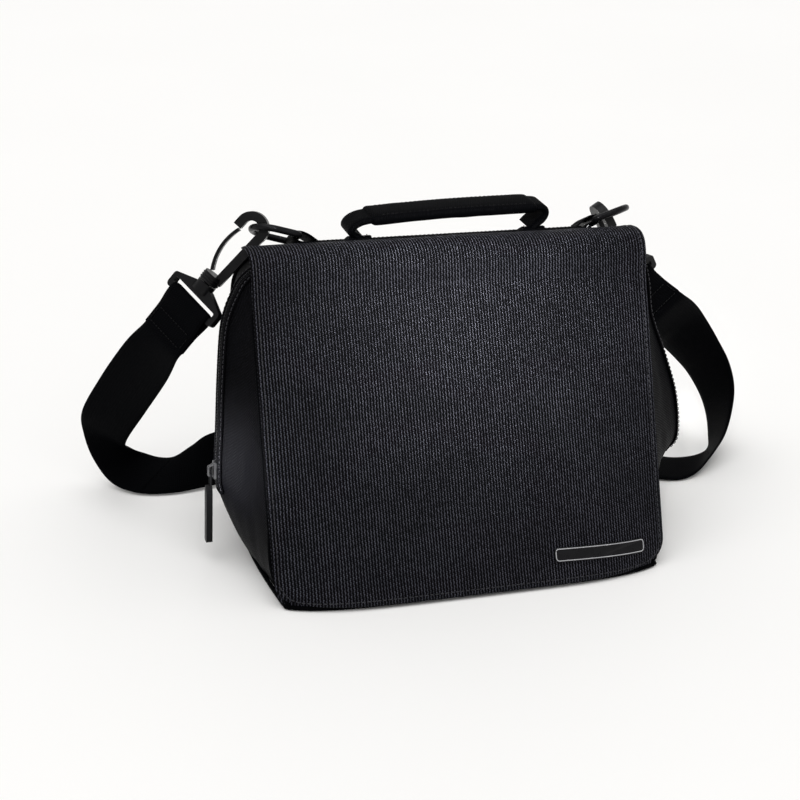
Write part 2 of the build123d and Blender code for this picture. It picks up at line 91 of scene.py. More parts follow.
def build(name, verts, faces, material, body, weave=None):
    """A smooth-shaded mesh piece on a body. weave holds cloth coordinates in mm for the material."""
    mesh = bpy.data.meshes.new(name)
    mesh.from_pydata((np.asarray(verts, float) * MM).tolist(), [], [tuple(int(k) for k in f) for f in faces])
    if weave is not None:
        layer = mesh.attributes.new("weave", "FLOAT_VECTOR", "POINT")
        layer.data.foreach_set("vector", np.asarray(weave, np.float32).ravel())
    mesh.materials.append(material)
    mesh.polygons.foreach_set("use_smooth", [True] * len(mesh.polygons))
    shell = bmesh.new()
    shell.from_mesh(mesh)
    bmesh.ops.recalc_face_normals(shell, faces=shell.faces)
    shell.to_mesh(mesh)
    shell.free()
    piece = bpy.data.objects.new(name, mesh)
    bpy.context.scene.collection.objects.link(piece)
    if body:
        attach(piece, body)
    return piece


def add(name, part, material, body, slot, *nodes_replaced):
    """A piece from (verts, faces, weave), hiding the CAD nodes that it stands for; slot is not used."""
    verts, faces, weave = part
    piece = build(name, verts, faces, material, body, weave)
    if nodes_replaced:
        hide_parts(*nodes_replaced)
    return piece


def grid_normals(p):
    """Unit normals of a grid of points."""
    return unit(np.cross(np.gradient(p, axis=1), np.gradient(p, axis=0)))


def thick_sheet(p, outer, inner, weave=None):
    """A closed sheet on a grid of points: one face outer mm along the grid's normal, the other inner mm."""
    rows, cols, _ = p.shape
    n = grid_normals(p)
    verts = np.concatenate([(p + n * outer).reshape(-1, 3), (p + n * inner).reshape(-1, 3)])
    half = rows * cols
    faces = []
    for i in range(rows - 1):
        for j in range(cols - 1):
            a = i * cols + j
            faces.append((a, a + cols, a + cols + 1, a + 1))
            faces.append((a + half, a + half + 1, a + half + cols + 1, a + half + cols))
    rim = list(range(cols)) + [i * cols + cols - 1 for i in range(1, rows)]
    rim += [(rows - 1) * cols + j for j in range(cols - 2, -1, -1)]
    rim += [i * cols for i in range(rows - 2, 0, -1)]
    for a, b in zip(rim, rim[1:] + rim[:1]):
        faces.append((a, b, b + half, a + half))
    if weave is None:
        along = np.stack([arc_length(p[:, j]) for j in range(cols)], axis=1)
        across = np.stack([arc_length(p[i]) - arc_length(p[i])[-1] / 2 for i in range(rows)], axis=0)
        weave = np.stack([across, along, np.zeros_like(along)], axis=2)
    return verts, faces, np.concatenate([weave.reshape(-1, 3)] * 2)


def join(*parts):
    """Several (verts, faces, weave) as one."""
    verts, faces, weave, start = [], [], [], 0
    for v, f, w in parts:
        verts.append(np.asarray(v, float))
        weave.append(np.asarray(w, float))
        faces += [tuple(k + start for k in face) for face in f]
        start += len(v)
    return np.concatenate(verts), faces, np.concatenate(weave)


def ribbon(line, across, width, thickness, cols=9):
    """Webbing: a closed flat band with rounded selvedges, along a line, with a unit direction across it."""
    line, across = np.asarray(line, float), unit(across)
    along = unit(np.gradient(line, axis=0))
    lift = unit(np.cross(along, across))
    t = np.linspace(-1, 1, cols)
    half = width / 2
    edge = thickness * 0.5 * np.sqrt(np.clip(1 - np.clip((np.abs(t) * half - half + thickness * 0.6)
                                                         / (thickness * 0.6), 0, 1) ** 2, 0.08, 1))
    loop = [(half * k, e) for k, e in zip(t, edge)]
    loop += [(half * k, -e) for k, e in zip(t[::-1], edge[::-1])]
    ring = np.array(loop)
    verts = (line[:, None] + across[:, None] * ring[None, :, :1] + lift[:, None] * ring[None, :, 1:2])
    rows, per = len(line), len(ring)
    faces = []
    for i in range(rows - 1):
        for j in range(per):
            a, b = i * per + j, i * per + (j + 1) % per
            faces.append((a, b, b + per, a + per))
    faces.append(tuple(range(per)))
    faces.append(tuple(range((rows - 1) * per, rows * per))[::-1])
    run = arc_length(line)
    weave = np.zeros((rows, per, 3))
    weave[:, :, 0] = ring[None, :, 0]
    weave[:, :, 1] = run[:, None]
    return verts.reshape(-1, 3), [f[::-1] for f in faces], weave.reshape(-1, 3)


def tube(line, radius, sides=8, closed=False, flat=1.0, lift=None):
    """A round cord along a line; flat squeezes it along lift."""
    line = np.asarray(line, float)
    along = unit(np.roll(line, -1, 0) - np.roll(line, 1, 0) if closed else np.gradient(line, axis=0))
    base = vec(0.31, 0.52, 0.79) if lift is None else lift
    up = unit(np.broadcast_to(base, line.shape) - along * np.sum(along * base, axis=1, keepdims=True))
    side = np.cross(along, up)
    radius = np.broadcast_to(radius, len(line))
    angle = np.arange(sides) * 2 * math.pi / sides
    ring = side[:, None] * np.cos(angle)[None, :, None] + up[:, None] * (np.sin(angle) * flat)[None, :, None]
    verts = (line[:, None] + ring * radius[:, None, None]).reshape(-1, 3)
    rows = len(line)
    faces = []
    for i in range(rows if closed else rows - 1):
        for j in range(sides):
            a, b = i * sides + j, i * sides + (j + 1) % sides
            c, d = (i + 1) % rows * sides + (j + 1) % sides, (i + 1) % rows * sides + j
            faces.append((a, b, c, d))
    if not closed:
        faces.append(tuple(range(sides))[::-1])
        faces.append(tuple(range((rows - 1) * sides, rows * sides)))
    weave = np.zeros((len(verts), 3))
    weave[:, 0] = np.tile(angle * radius.mean(), rows)
    weave[:, 1] = np.repeat(arc_length(line), sides)
    return verts, faces, weave


def stitches(lines, pitch, length, radius):
    """Rows of sewn thread. Each line is (points on the cloth, outward directions)."""
    parts = []
    for path, outward in lines:
        path = np.asarray(path, float)
        outward = unit(np.broadcast_to(np.asarray(outward, float), path.shape))
        run = arc_length(path)
        for start in np.arange(pitch * 0.4, run[-1] - length, pitch):
            at = start + np.array([0, 0.16, 0.5, 0.84, 1]) * length
            spot = np.stack([np.interp(at, run, path[:, k]) for k in range(3)], axis=1)
            out = unit(np.stack([np.interp(at, run, outward[:, k]) for k in range(3)], axis=1))
            height = np.array([-0.25, 0.12, 0.2, 0.12, -0.25])[:, None]
            size = np.array([0.5, 1, 1, 1, 0.5]) * radius
            parts.append(tube(spot + out * height, size, sides=5, lift=out[2]))
    return join(*parts)


def rounded_box(path, half_w, half_h, sides=20, lift=vec(0, 0, 1)):
    """A padded bar with a squarish rounded section; half_w and half_h may change along the path."""
    path = np.asarray(path, float)
    along = unit(np.gradient(path, axis=0))
    up = unit(lift - along * np.sum(along * lift, axis=1, keepdims=True))
    side = np.cross(along, up)
    a = np.arange(sides) * 2 * math.pi / sides
    power = 3.0               # 2 is an oval, more is squarer
    c, s = np.cos(a), np.sin(a)
    x, y = np.sign(c) * np.abs(c) ** (2 / power), np.sign(s) * np.abs(s) ** (2 / power)
    half_w, half_h = np.broadcast_to(half_w, len(path)), np.broadcast_to(half_h, len(path))
    verts = (path[:, None] + side[:, None] * x[None, :, None] * half_w[:, None, None]
             + up[:, None] * y[None, :, None] * half_h[:, None, None])
    rows = len(path)
    faces = []
    for i in range(rows - 1):
        for j in range(sides):
            p, q = i * sides + j, i * sides + (j + 1) % sides
            faces.append((p, q, q + sides, p + sides))
    faces.append(tuple(range(sides))[::-1])
    faces.append(tuple(range((rows - 1) * sides, rows * sides)))
    weave = np.zeros((rows, sides, 3))
    weave[:, :, 0] = (x * half_w.mean())[None]
    weave[:, :, 1] = arc_length(path)[:, None]
    return verts.reshape(-1, 3), faces, weave.reshape(-1, 3)


# ================================================================ materials
class Shader:
    """A node material with a few short ways to add maths and textures."""

    def __init__(self, name, roughness, **inputs):
        self.material = bpy.data.materials.new(name)
        self.material.use_nodes = True
        self.tree = self.material.node_tree
        self.surface = self.tree.nodes["Principled BSDF"]
        self.surface.inputs["Roughness"].default_value = roughness
        for key, value in inputs.items():
            self.surface.inputs[key.replace("_", " ")].default_value = value

    def node(self, kind, settings=None, **links):
        made = self.tree.nodes.new(kind)
        for key, value in (settings or {}).items():
            setattr(made, key, value)
        for key, value in links.items():
            numbered = key[0] == "i" and key[1:].isdigit()
            socket = made.inputs[int(key[1:]) if numbered else key]
            if isinstance(value, bpy.types.NodeSocket):
                self.tree.links.new(value, socket)
            else:
                socket.default_value = value
        return made

    def math(self, operation, a, b=0.0):
        return self.node("ShaderNodeMath", {"operation": operation}, i0=a, i1=b).outputs[0]

    def noise(self, vector, scale, detail=2.0):
        made = self.node("ShaderNodeTexNoise", Vector=vector, Scale=scale, Detail=detail)
        return made.outputs["Fac"]

    def ramp(self, value, low, high, out_low=0.0, out_high=1.0):
        made = self.node("ShaderNodeMapRange", Value=value)
        for key, number in (("From Min", low), ("From Max", high), ("To Min", out_low), ("To Max", out_high)):
            made.inputs[key].default_value = number
        return made.outputs[0]

    def colour(self, fac, dark, light):
        made = self.node("ShaderNodeMix", {"data_type": "RGBA"})
        self.tree.links.new(fac, made.inputs[0])
        made.inputs[6].default_value = (*dark, 1)
        made.inputs[7].default_value = (*light, 1)
        return made.outputs[2]

    def finish(self, colour, height, depth, rough=None):
        links = self.tree.links
        links.new(colour, self.surface.inputs["Base Color"])
        if rough is not None:
            links.new(rough, self.surface.inputs["Roughness"])
        bump = self.node("ShaderNodeBump", Height=height)
        bump.inputs["Strength"].default_value = 1.0
        bump.inputs["Distance"].default_value = depth * MM
        links.new(bump.outputs[0], self.surface.inputs["Normal"])
        return self.material


def cloth_vector(s, stretch_u, stretch_v):
    """Cloth coordinates divided by a thread pitch in each direction."""
    weave = s.node("ShaderNodeAttribute", {"attribute_name": "weave"}).outputs["Vector"]
    scaled = s.node("ShaderNodeVectorMath", {"operation": "MULTIPLY"}, i0=weave)
    scaled.inputs[1].default_value = (1 / stretch_u, 1 / stretch_v, 1)
    return weave, scaled.outputs[0]


def ribbed_polyester(name, light=(0.086, 0.088, 0.110)):
    """Heavy black polyester: upright ribs, each a chain of glossier dashes leaning left and right in turn.
    The dashes are also painted lighter than the ground: thread pattern with a painted highlight on each knot.
    """
    pitch, knot, dark = 1.95, 1.3, (0.0005, 0.0005, 0.0009)
    s = Shader(name, 0.55, Specular_IOR_Level=0.04)
    weave, grid = cloth_vector(s, pitch, knot)
    wander = s.node("ShaderNodeTexNoise", {"noise_dimensions": "3D"}, Vector=weave, Scale=0.05, Detail=2.0)
    shift = s.node("ShaderNodeVectorMath", {"operation": "MULTIPLY_ADD"}, i0=wander.outputs["Color"], i2=grid)
    shift.inputs[1].default_value = (0.5, 0.8, 0)
    bits = s.node("ShaderNodeSeparateXYZ", Vector=shift.outputs[0])
    u, v = bits.outputs[0], bits.outputs[1]
    column = s.math("FLOOR", u)
    step = s.math("ADD", v, s.math("MULTIPLY", column, 0.37))
    sway = s.math("MULTIPLY", s.math("SINE", s.math("MULTIPLY", step, math.pi)), 0.09)
    across = s.math("ABSOLUTE", s.math("SUBTRACT", s.math("FRACT", s.math("ADD", u, sway)), 0.5))
    ridge = s.ramp(across, 0.25, 0.05)
    dash = s.ramp(s.math("SINE", s.math("MULTIPLY", step, 2 * math.pi)), -0.9, 0.8, 0.35, 1.0)
    grain = s.node("ShaderNodeTexWhiteNoise", {"noise_dimensions": "2D"})
    cell = s.node("ShaderNodeCombineXYZ", X=column, Y=s.math("FLOOR", step))
    s.tree.links.new(cell.outputs[0], grain.inputs["Vector"])
    dash_highlight_gain = s.ramp(grain.outputs["Value"], 0, 1, 0.42, 1.25)
    knob = s.math("MULTIPLY", ridge, dash)
    cloud = s.noise(weave, 0.018, 3.0)
    # tone: how light each dash is painted, partly thread pattern and partly a painted highlight on the rib
    # knots; it lightens the base colour
    tone = s.math("MULTIPLY", s.math("MULTIPLY", knob, dash_highlight_gain), s.ramp(cloud, 0.3, 0.7, 0.7, 1.1))
    return s.finish(s.colour(tone, dark, light), knob, 0.28, s.ramp(tone, 0, 1, 0.62, 0.42))


def smooth_polyester(name):
    """The gussets' finer cloth: a close diagonal twill whose lines are painted lighter than the ground, a
    painted sheen on the twill.
    """
    dark, light = (0.0005, 0.0005, 0.0008), (0.013, 0.013, 0.017)
    s = Shader(name, 0.42, Specular_IOR_Level=0.03)
    weave, grid = cloth_vector(s, 1.0, 1.0)
    wander = s.noise(weave, 0.12, 2.0)
    bits = s.node("ShaderNodeSeparateXYZ", Vector=grid)
    slant = s.math("ADD", bits.outputs[1], s.math("MULTIPLY", bits.outputs[0], 0.62))
    slant = s.math("ADD", slant, s.math("MULTIPLY", wander, 0.8))
    line = s.ramp(s.math("SINE", s.math("MULTIPLY", slant, 2 * math.pi / 1.9)), -1, 1)
    thread = s.ramp(s.math("SINE", s.math("MULTIPLY", bits.outputs[0], 2 * math.pi / 1.1)), -1, 1)
    grain = s.noise(weave, 0.9, 2.0)
    dash = s.ramp(thread, 0.2, 1.0, 0.45, 1.0)
    # tone: painted sheen along the twill lines, broken up by grain and thread; line is also the bump height
    tone = s.math("MULTIPLY", s.math("POWER", line, 4.0), s.ramp(grain, 0.35, 0.7, 0.2, 1.1))
    tone = s.math("MULTIPLY", tone, dash)
    height = s.math("ADD", line, s.math("MULTIPLY", thread, 0.4))
    return s.finish(s.colour(tone, dark, light), height, 0.14, s.ramp(tone, 0, 1, 0.52, 0.34))


def webbing(name, dark=(0.0004, 0.0005, 0.0008), light=(0.0028, 0.0029, 0.0038)):
    """Plain-woven webbing: cross ridges between warp columns."""
    rough = 0.6
    s = Shader(name, rough, Specular_IOR_Level=0.02)
    weave, grid = cloth_vector(s, 1.9, 1.25)
    bits = s.node("ShaderNodeSeparateXYZ", Vector=grid)
    column = s.math("SINE", s.math("MULTIPLY", bits.outputs[0], math.pi))
    offset = s.math("MULTIPLY", s.math("SIGN", column), 0.25)
    row = s.math("SINE", s.math("MULTIPLY", s.math("ADD", bits.outputs[1], offset), 2 * math.pi))
    knob = s.math("MULTIPLY", s.ramp(row, -1, 1), s.math("POWER", s.math("ABSOLUTE", column), 0.6))
    grain = s.noise(weave, 0.9, 3.0)
    tone = s.math("MULTIPLY", s.math("POWER", knob, 1.5), s.ramp(grain, 0.3, 0.75, 0.2, 1.0))
    return s.finish(s.colour(tone, dark, light), knob, 0.16, s.ramp(grain, 0, 1, rough - 0.1, rough + 0.15))


def moulded(name, base, rough, speckle=0.35):
    """Moulded plastic or painted metal: fine grain, slightly worn and dusty."""
    s = Shader(name, rough, Specular_IOR_Level=0.14)
    place = s.node("ShaderNodeTexCoord").outputs["Object"]
    grain = s.noise(place, 2600.0, 2.0)
    patches = s.noise(place, 140.0, 3.0)
    worn = tuple(min(1, c * 2.4 + 0.002) for c in base)
    tone = s.math("MULTIPLY", s.ramp(patches, 0.42, 0.8), speckle)
    gloss = s.ramp(patches, 0.25, 0.75, rough - 0.07, rough + 0.1)
    return s.finish(s.colour(tone, base, worn), grain, 0.03, gloss)


def foil(name):
    """Silvery wipe-clean lining with soft creases."""
    s = Shader(name, 0.3, Metallic=0.75)
    place = s.node("ShaderNodeTexCoord").outputs["Object"]
    crease = s.node("ShaderNodeTexVoronoi", {"feature": "DISTANCE_TO_EDGE"}, Vector=place, Scale=70.0)
    fold = s.ramp(crease.outputs["Distance"], 0.0, 0.25)
    cloud = s.noise(place, 30.0, 4.0)
    height = s.math("ADD", fold, s.math("MULTIPLY", cloud, 1.5))
    return s.finish(s.colour(cloud, (0.42, 0.43, 0.45), (0.72, 0.73, 0.75)), height, 0.7,
                    s.ramp(cloud, 0.2, 0.8, 0.22, 0.42))


def fuzz(name):
    """Hook-and-loop tape: a dense dark pile."""
    s = Shader(name, 0.9, Specular_IOR_Level=0.1, Sheen_Weight=0.05)
    place = s.node("ShaderNodeTexCoord").outputs["Object"]
    cells = s.node("ShaderNodeTexVoronoi", Vector=place, Scale=900.0)
    tip = s.ramp(cells.outputs["Distance"], 0.6, 0.0)
    return s.finish(s.colour(tip, (0.006, 0.006, 0.007), (0.045, 0.045, 0.05)), tip, 0.5)


def backdrop(name):
    """White paper with a faint grain."""
    s = Shader(name, 0.55)
    place = s.node("ShaderNodeTexCoord").outputs["Object"]
    cloud = s.noise(place, 3.0, 3.0)
    return s.finish(s.colour(cloud, (0.955, 0.95, 0.94), (0.985, 0.98, 0.972)), s.noise(place, 900.0), 0.02)


# flap and body cloths: weave dashes painted lighter, partly a painted highlight
CLOTH = ribbed_polyester("flap_cloth")
BODY_CLOTH = ribbed_polyester("body_cloth", light=(0.08, 0.08, 0.10))
# gusset cloth: twill lines painted lighter, a painted sheen
SIDE_CLOTH = smooth_polyester("gusset_cloth")
WEB = webbing("webbing")
STRAP_WEB = webbing("strap_webbing", light=(0.0036, 0.0038, 0.0052))
TAPE = webbing("zip_tape", dark=(0.001, 0.001, 0.0014), light=(0.008, 0.008, 0.010))
THREAD = moulded("thread", (0.03, 0.03, 0.034), 0.5)
STRAP_THREAD = moulded("strap_thread", (0.0014, 0.0014, 0.0018), 0.6)
COIL = moulded("zip_coil", (0.006, 0.006, 0.007), 0.35)
PLASTIC = moulded("hardware_plastic", (0.0040, 0.0040, 0.0046), 0.33, 0.22)
GATE = moulded("gate_plastic", (0.0032, 0.0032, 0.0036), 0.3, 0.2)
RING = moulded("ring_metal", (0.008, 0.008, 0.009), 0.3, 0.3)
RING.node_tree.nodes["Principled BSDF"].inputs["Metallic"].default_value = 0.6
SLIDER = moulded("slider_metal", (0.12, 0.12, 0.125), 0.28, 0.6)
SLIDER.node_tree.nodes["Principled BSDF"].inputs["Metallic"].default_value = 0.9
PULL = moulded("pull_tab", (0.0028, 0.0028, 0.0033), 0.45)
LINING = foil("foil_lining")
PILE = fuzz("hook_and_loop")
LABEL = moulded("label_patch", (0.006, 0.006, 0.007), 0.28, 0.2)
LABEL_RIM = moulded("label_rim", (0.42, 0.42, 0.44), 0.4, 0.2)


# ================================================================ the bag's outlines
HALF = 130.6
FRONT_BULGE, BACK_BULGE, BULGE_TOP = 13.0, 5.0, 190.0
ZIP_LEAN, ZIP_FOOT = 0.135, 46.0
FRONT_FOOT, FLAP_LEAN = -68.4, 0.42
FRONT_FACE = ([0, 165, 180, 189, 196.4], [FRONT_FOOT, 0.9, 6.5, 9.3, 11.2])
BACK_LINE = smooth([(73, 0.4, 0), (72.5, 40, 0), (70.5, 80, 0), (67, 120, 0), (62, 160, 0), (57, 180, 0),
                    (50, 190.5, 0), (40, 197, 0), (30, 199.5, 0)], 90)
BASE_HALF = 121.6             # half the width of the base between its rounded corners
TAPER = ([0, 1.5, 4, 8, 14, 160, 170, 178, 185, 192, 199.6],
         [120.0, 124.5, 127.6, 129.8, 130.6, 130.4, 129.6, 126.6, 120.6, 113.4, 104.5])
CREST_LEFT = [(130.4, 0.4), (141, 20), (151, 46), (152.6, 60), (151.0, 90), (149.4, 120), (147, 150),
              (143.5, 165), (137.5, 178), (133.0, 184.5), (124.5, 190.8), (113, 196), (101, 198.6)]
CREST_RIGHT = [(130.4, 0.4), (145, 20), (156.5, 46), (165.3, 60), (162.6, 88), (153.2, 116), (141.6, 145),
               (138.4, 165), (135.3, 178), (131, 185.5), (123, 192), (112, 196.4), (101, 198.6)]
FRONT_EDGE_Z = [0.6, 20, 46, 60, 90, 120, 148, 160, 170, 177, 184, 191, 196.2]
BACK_EDGE_Z = [0.6, 20, 46, 60, 90, 120, 147, 160, 170, 178, 186, 193.5, 199.3]


def belly(x, z, depth):
    """How far a wall bulges out at the foot, fading to its sides and top."""
    return depth * (1 - np.minimum(np.abs(x) / 131.0, 1) ** 6) * np.maximum(0, 1 - z / BULGE_TOP)


def taper(z):
    """Half the width of the front and back walls at height z."""
    return np.interp(z, *TAPER)


def front_point(x, z):
    """A point of the front wall's outer face."""
    return np.stack([x, np.interp(z, *FRONT_FACE) - belly(x, z, FRONT_BULGE), z], axis=-1)


def back_point(x, y, z):
    """A point of the back wall, moved back by its bulge."""
    return np.stack([x, y + belly(x, z, BACK_BULGE), z], axis=-1)


def zip_spot(x, z, forward=0.0):
    """A point of the zip's leaning plane, moved forward off it."""
    scale = math.hypot(1, ZIP_LEAN)
    return vec(x, ZIP_LEAN * (z - ZIP_FOOT) - forward / scale, z + forward * ZIP_LEAN / scale)


# ================================================================ body: walls, gussets and base
ROWS = 66
wall_x = np.concatenate([[-1, -0.985, -0.965], np.linspace(-0.94, 0.94, 61), [0.965, 0.985, 1]])

z = np.linspace(0.6, 196.2, ROWS)[:, None]
front_grid = front_point(wall_x[None] * taper(z), z + 0 * wall_x[None])
front_grid[:, :, 1] += 0.5 * ripple(front_grid, 55, 3.1) * (1 - wall_x[None] ** 4)

line = BACK_LINE[:, None]
back_x = wall_x[None] * taper(line[:, :, 1])
back_grid = back_point(back_x, line[:, :, 0] + 0 * back_x, line[:, :, 1] + 0 * back_x)
back_n = grid_normals(back_grid)
inside = (1 - wall_x[None] ** 6) * np.sin(np.linspace(0, math.pi, len(BACK_LINE)))[:, None] ** 0.4
back_grid -= back_n * ((1.3 * inside + 0.9 * inside * ripple(back_grid, 38, 7.7))[:, :, None])


def edge_lines(side, crest):
    """Matching lines up one side: front seam, crest at the front and back of the zip, back seam."""
    count = 72
    front = front_point(np.array([side * taper(h) for h in FRONT_EDGE_Z]), np.array(FRONT_EDGE_Z))
    ys = [np.interp(h, BACK_LINE[:, 1], BACK_LINE[:, 0]) for h in BACK_EDGE_Z]
    back = back_point(np.array([side * taper(h) for h in BACK_EDGE_Z]), np.array(ys), np.array(BACK_EDGE_Z))
    split = [0.0, 0.0, 2.0, 6.2] + [6.2] * (len(crest) - 4)
    crest_front = [zip_spot(side * x, h, s) for (x, h), s in zip(crest, split)]
    crest_back = [zip_spot(side * x, h, -s) for (x, h), s in zip(crest, split)]
    return [smooth(p, count) for p in (front, crest_front, crest_back, back)]


def gusset_patch(seam, crest, side, sag, seed):
    """Cloth from a wall's seam out to the zip, a little slack in the middle."""
    t = np.linspace(0, 1, 19)
    rise = np.clip(np.abs(crest[:, 0]) - np.abs(seam[:, 0]), 0, 40)[:, None]
    p = seam[:, None] * (1 - t)[None, :, None] + crest[:, None] * t[None, :, None]
    hollow = np.sin(math.pi * t)[None] ** 1.2
    slack = hollow * sag * np.minimum(1, rise / 14)
    broad, fine = ripple(p * vec(1, 1, 0.6), 24, seed), ripple(p * vec(1, 1, 0.5), 9, seed + 4)
    p[:, :, 0] -= side * (slack - hollow * (1.5 * broad + 0.8 * fine))
    return p


body_parts = [thick_sheet(front_grid, 0, -4.6), thick_sheet(back_grid[::-1], 0, -4.6)]
lining_parts = [thick_sheet(front_grid[:, 2:-2] * vec(0.965, 1, 1), -4.9, -5.4),
                thick_sheet(back_grid[::-1, 2:-2] * vec(0.965, 1, 1), -4.9, -5.4)]
side_parts = {}
side_lining = []
seams = []
for side, crest, hand in ((-1, CREST_LEFT, "left"), (1, CREST_RIGHT, "right")):
    seam_f, crest_f, crest_b, seam_b = edge_lines(side, crest)
    patches = []
    halves = ((seam_f, crest_f, 1.2, 11.0, side < 0), (seam_b, crest_b, 3.6, 23.0, side > 0))
    for seam, edge, sag, seed, turned in halves:
        p = gusset_patch(seam, edge, side, sag, seed)
        p = p[::-1] if turned else p
        patches.append(thick_sheet(p, 0, -4.0))
        side_lining.append(thick_sheet(p[:, 1:-2], -4.3, -4.8))
    side_parts[hand] = patches
    seams += [(seam_f, side), (seam_b, side)]

# base, closing the bottom between the seams
count = 41
bottom_x = np.linspace(-1, 1, count) * BASE_HALF
front_y0 = front_point(bottom_x, np.full(count, 0.6))[:, 1]
back_y0 = 73 + belly(bottom_x, 0.6, BACK_BULGE)
t = np.linspace(0, 1, 25)[:, None]
base_grid = np.stack([np.broadcast_to(bottom_x, (25, count)), front_y0 * (1 - t) + back_y0 * t,
                      np.full((25, count), 0.25)], axis=2)
base_grid[:, :, 2] += 0.5 * np.sin(math.pi * t) ** 0.3 * (1 - (np.abs(bottom_x) / HALF) ** 8)
body_parts.append(thick_sheet(base_grid[::-1], 0, -5.5))
lining_parts.append(thick_sheet(base_grid[-3:1:-1, 2:-2], -5.8, -7.6))

shell = add("body_shell", join(*body_parts), BODY_CLOTH, "bag", "outer_fabric",
            "front_panel", "front_insulation", "back_panel", "back_insulation",
            "base_panel", "base_board", "base_insulation")
for hand, parts in side_parts.items():
    gusset = add("gusset_cloth_" + hand, join(*parts), SIDE_CLOTH, "bag", "outer_fabric",
                 "gusset_" + hand, "gusset_insulation_" + hand)
add("lining_shell", join(*lining_parts, *side_lining), LINING, "bag", "lining_film",
    "front_lining", "back_lining", "base_lining", "gusset_lining_left", "gusset_lining_right")

# bound seams between walls and gussets, and round the base
BINDING, BINDING_Z = 1.5, 1.6
piping = [tube(seam + vec(side * 0.3, 0, 0), BINDING) for seam, side in seams]
for y0 in (front_y0, back_y0):
    piping.append(tube(np.stack([bottom_x, y0, np.full(count, BINDING_Z)], axis=1), BINDING))
for side in (-1, 1):
    corner = [(BASE_HALF, front_y0[0]), (125.5, front_y0[0] + 6), (130.4, 0), (125.5, back_y0[0] - 6),
              (BASE_HALF, back_y0[0])]
    piping.append(tube(smooth([(side * x, y, BINDING_Z) for x, y in corner], 30), 1.4))
add("seam_binding", join(*piping), WEB, "bag", "webbing")

# ================================================================ zip
ZIP_LOW, ZIP_TOP = 50.0, 198.6
zip_left = [(-151.4, ZIP_LOW)] + [(-x, h) for x, h in CREST_LEFT if h >= ZIP_LOW]
zip_right = [(x, h) for x, h in CREST_RIGHT if h >= ZIP_LOW][::-1] + [(158.5, ZIP_LOW)]
ZIP = smooth([zip_spot(x, h) for x, h in zip_left + [(-50, ZIP_TOP), (50, ZIP_TOP)] + zip_right], 520)
forward = unit(vec(0, -1, ZIP_LEAN))
zip_along = unit(np.gradient(ZIP, axis=0))
zip_out = unit(np.cross(np.broadcast_to(forward, ZIP.shape), zip_along))
zip_out *= np.sign(np.sum(zip_out * (ZIP - vec(0, 10, 90)), axis=1, keepdims=True))


def zip_strip(offsets, thickness):
    """A strip of tape whose section is a list of (forward, outward) points."""
    grid = np.stack([ZIP + forward * f + zip_out * o for f, o in offsets], axis=1)
    return thick_sheet(grid, thickness / 2, -thickness / 2)


front_tape = zip_strip([(8.4, -0.4), (7, 0.0), (5, 0.25), (3, 0.35), (1.5, 0.55)], 0.8)
back_tape = zip_strip([(-1.5, 0.55), (-3, 0.35), (-5, 0.25), (-7, 0.0), (-8.4, -0.4)], 0.8)
for part, where in ((front_tape, "front"), (back_tape, "back")):
    add("zip_tape_" + where, part, TAPE, "bag", "zip_tape", "zipper_tape_" + where)

# gusset cloth turned under beside the teeth, with its rows of stitches
folds = []
fold_rows = []
for sign in (-1, 1):
    folds.append(tube(ZIP + forward * sign * 5.4 + zip_out * 0.55, 0.95, flat=0.75))
    fold_rows.append((ZIP + forward * sign * 8.0 + zip_out * 0.55, zip_out))
add("zip_fold", join(*folds), SIDE_CLOTH, "bag", "outer_fabric")
add("zip_stitches", stitches(fold_rows, 3.1, 2.1, 0.27), THREAD, "bag", "outer_fabric")

teeth = {"front": [], "back": []}
zip_run = arc_length(ZIP)
for k, at in enumerate(np.arange(2.0, zip_run[-1] - 2.0, 0.95)):
    spot = np.array([np.interp(at, zip_run, ZIP[:, i]) for i in range(3)])
    out = unit(np.array([np.interp(at, zip_run, zip_out[:, i]) for i in range(3)]))
    sign = 1 if k % 2 else -1
    reach = [1.75, 1.5, 0.2, -0.45, -0.5]
    height = [0.5, 1.0, 1.25, 1.1, 0.7]
    wire = np.array([spot + forward * sign * r + out * h for r, h in zip(reach, height)])
    teeth["front" if sign > 0 else "back"].append(tube(wire, 0.36, sides=5, lift=out))
for where, parts in teeth.items():
    add("zip_teeth_" + where, join(*parts), COIL, "bag", "zip_coil", "zipper_coil_" + where)

stops = []
for end, inward in ((ZIP[0], ZIP[6] - ZIP[0]), (ZIP[-1], ZIP[-7] - ZIP[-1])):
    across = np.linspace(-1, 1, 13)[:, None] * forward * 7.8
    middle = end - unit(inward) * 0.8
    size = 1.5 * np.sqrt(np.clip(1.04 - np.linspace(-1, 1, 13) ** 6, 0.05, 1))
    stops.append(rounded_box(middle + across, size, size * 0.8, lift=unit(inward)))
add("zip_end_tabs", join(*stops), WEB, "bag", "zip_coil", "zipper_stops")

# ================================================================ flap
FLAP_HALF, FLAP_OFFSET, CORNER = 131.8, 4.6, 17.0
CROWN = [(33.5, 199.7), (31.2, 200.9), (28.5, 201.8), (24.5, 202.5), (20, 202.8), (13.5, 201.8), (8, 197.8),
         (4.2, 189.6), (1.4, 178)]


def flap_front(x, z):
    """A point of the flap's flat outer face, FLAP_OFFSET ahead of the front wall."""
    y = FRONT_FOOT + FLAP_LEAN * z - belly(x, z, FRONT_BULGE) - FLAP_OFFSET
    return front_point(x, z) * vec(1, 0, 1) + vec(0, 1, 0) * y[..., None]


